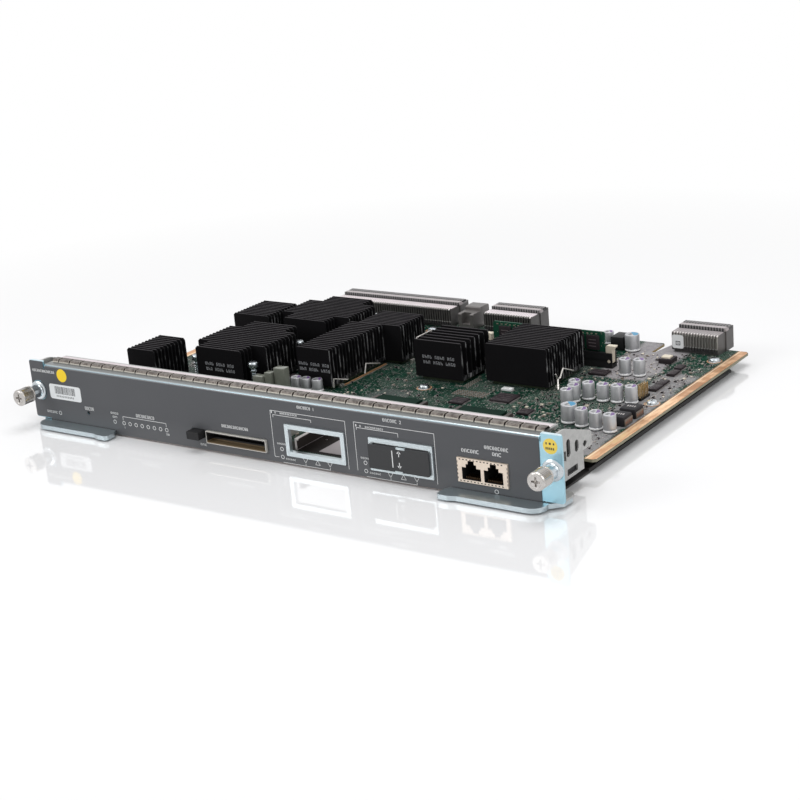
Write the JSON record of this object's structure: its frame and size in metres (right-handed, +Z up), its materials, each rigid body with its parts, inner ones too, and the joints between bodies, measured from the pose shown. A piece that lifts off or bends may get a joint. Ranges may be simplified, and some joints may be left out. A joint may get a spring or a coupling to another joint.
{
  "type": "supervisor module for a modular chassis switch",
  "caption": "Plug-in control module for a chassis switch: long front panel with levers and thumbscrews, tray, board with finned heatsinks, rear connectors.",
  "frame": {"origin": "middle of the front panel's foot: the panel's front face is y = 0 and its underside is z = 0", "axes": "+X to the right along the panel seen from the front, +Y back into the chassis, +Z up"},
  "size_m": [0.3912, 0.2885, 0.0426],
  "materials": {
    "zinc": "blue passivated zinc, satin",
    "film": "dark grey printed film",
    "spring_steel": "bright spring sheet",
    "sheet_steel": "galvanised sheet",
    "nickel": "nickel plated",
    "board_green": "solder mask",
    "black_anodised": "black anodised",
    "black_plastic": "moulded",
    "grey_plastic": "moulded",
    "cream_plastic": "moulded",
    "jack_shell": "tinned",
    "can_aluminium": "drawn can",
    "chip_black": "moulded package",
    "ferrite": "ferrite",
    "gold": "gold flash",
    "light_clear": "clear moulded"
  },
  "bodies": {
    "module": {"faceplate": "zinc", "front_overlay": "film", "emi_finger_strip": "spring_steel", "side_bracket_right": "sheet_steel", "side_bracket_left": "sheet_steel", "carrier_tray": "sheet_steel", "tray_rivets": "nickel", "board_standoffs": "nickel", "board_screws": "nickel", "main_board": "board_green", "lever_pivot_right": "nickel", "lever_pivot_left": "nickel", "x2_bezel_1": "nickel", "x2_bezel_2": "nickel", "x2_rails_1": "sheet_steel", "x2_rails_2": "sheet_steel", "x2_host_connectors": "black_plastic", "x2_blank_cover": "black_plastic", "rj45_jack": "jack_shell", "flash_connector": "jack_shell", "flash_eject_guide": "black_plastic", "status_leds": "light_clear", "reset_switch": "black_plastic", "chip_packages": "chip_black", "heatsink_posts": "nickel", "heatsink_clips": "nickel", "guide_block": "grey_plastic", "memory_socket": "black_plastic", "memory_module": "board_green", "capacitors": "can_aluminium", "capacitors_marked": "can_aluminium", "capacitors_small": "can_aluminium", "power_inductors": "ferrite", "flat_pack_chips": "chip_black", "pin_header": "gold", "screw_ferrule_right": "nickel", "screw_spring_right": "spring_steel", "screw_ferrule_left": "nickel", "screw_spring_left": "spring_steel", "heatsink_left_front": "black_anodised", "heatsink_left_mid": "black_anodised", "heatsink_left_back": "black_anodised", "heatsink_mid_back": "black_anodised", "heatsink_centre": "black_anodised", "heatsink_centre_back": "black_anodised", "heatsink_right_mid": "black_anodised", "heatsink_right_back": "black_anodised", "backplane_connector_long": "grey_plastic", "backplane_connector_mid": "grey_plastic", "backplane_connector_right": "grey_plastic"},
    "ejector_lever_left": {"ejector_lever_left": "zinc"},
    "ejector_lever_right": {"ejector_lever_right": "zinc"},
    "flash_eject_button": {"flash_eject_button": "black_plastic"},
    "memory_latch_left": {"memory_latch_left": "cream_plastic"},
    "memory_latch_right": {"memory_latch_right": "cream_plastic"},
    "reset_plunger": {"reset_plunger": "cream_plastic"},
    "screw_retainer_left": {"screw_retainer_left": "nickel"},
    "screw_retainer_right": {"screw_retainer_right": "nickel"},
    "thumbscrew_left": {"thumbscrew_left": "nickel"},
    "thumbscrew_right": {"thumbscrew_right": "nickel"}
  },
  "joints": [
    {"name": "thumbscrew_right_push", "type": "slide", "parent": "module", "child": "screw_retainer_right", "axis": [0, 1, 0], "range_m": [0, 0.006], "stiffness_N_per_m": 500, "springref_m": -0.002, "deforming": ["screw_spring_right"]},
    {"name": "thumbscrew_right_turn", "type": "hinge", "parent": "screw_retainer_right", "child": "thumbscrew_right", "pos_m": [0.1893, -0.01, 0.0226], "axis": [0, 1, 0], "continuous": true},
    {"name": "ejector_right_swing", "type": "hinge", "parent": "module", "child": "ejector_lever_right", "pos_m": [0.1876, 0.0084, 0.0022], "axis": [0, 0, 1], "range_deg": [0, 65]},
    {"name": "memory_latch_right_tilt", "type": "hinge", "parent": "module", "child": "memory_latch_right", "pos_m": [0.1148, 0.205, 0.0126], "axis": [0, 1, 0], "range_deg": [0, 35]},
    {"name": "thumbscrew_left_push", "type": "slide", "parent": "module", "child": "screw_retainer_left", "axis": [0, 1, 0], "range_m": [0, 0.006], "stiffness_N_per_m": 500, "springref_m": -0.002, "deforming": ["screw_spring_left"]},
    {"name": "thumbscrew_left_turn", "type": "hinge", "parent": "screw_retainer_left", "child": "thumbscrew_left", "pos_m": [-0.1893, -0.01, 0.0226], "axis": [0, 1, 0], "continuous": true},
    {"name": "ejector_left_swing", "type": "hinge", "parent": "module", "child": "ejector_lever_left", "pos_m": [-0.1876, 0.0084, 0.0022], "axis": [0, 0, -1], "range_deg": [0, 65]},
    {"name": "memory_latch_left_tilt", "type": "hinge", "parent": "module", "child": "memory_latch_left", "pos_m": [0.0242, 0.205, 0.0126], "axis": [0, -1, 0], "range_deg": [0, 35]},
    {"name": "flash_eject_push", "type": "slide", "parent": "module", "child": "flash_eject_button", "axis": [0, 1, 0], "range_m": [0, 0.0045]},
    {"name": "reset_press", "type": "slide", "parent": "module", "child": "reset_plunger", "axis": [0, 1, 0], "range_m": [0, 0.0003], "stiffness_N_per_m": 1500}
  ]
}
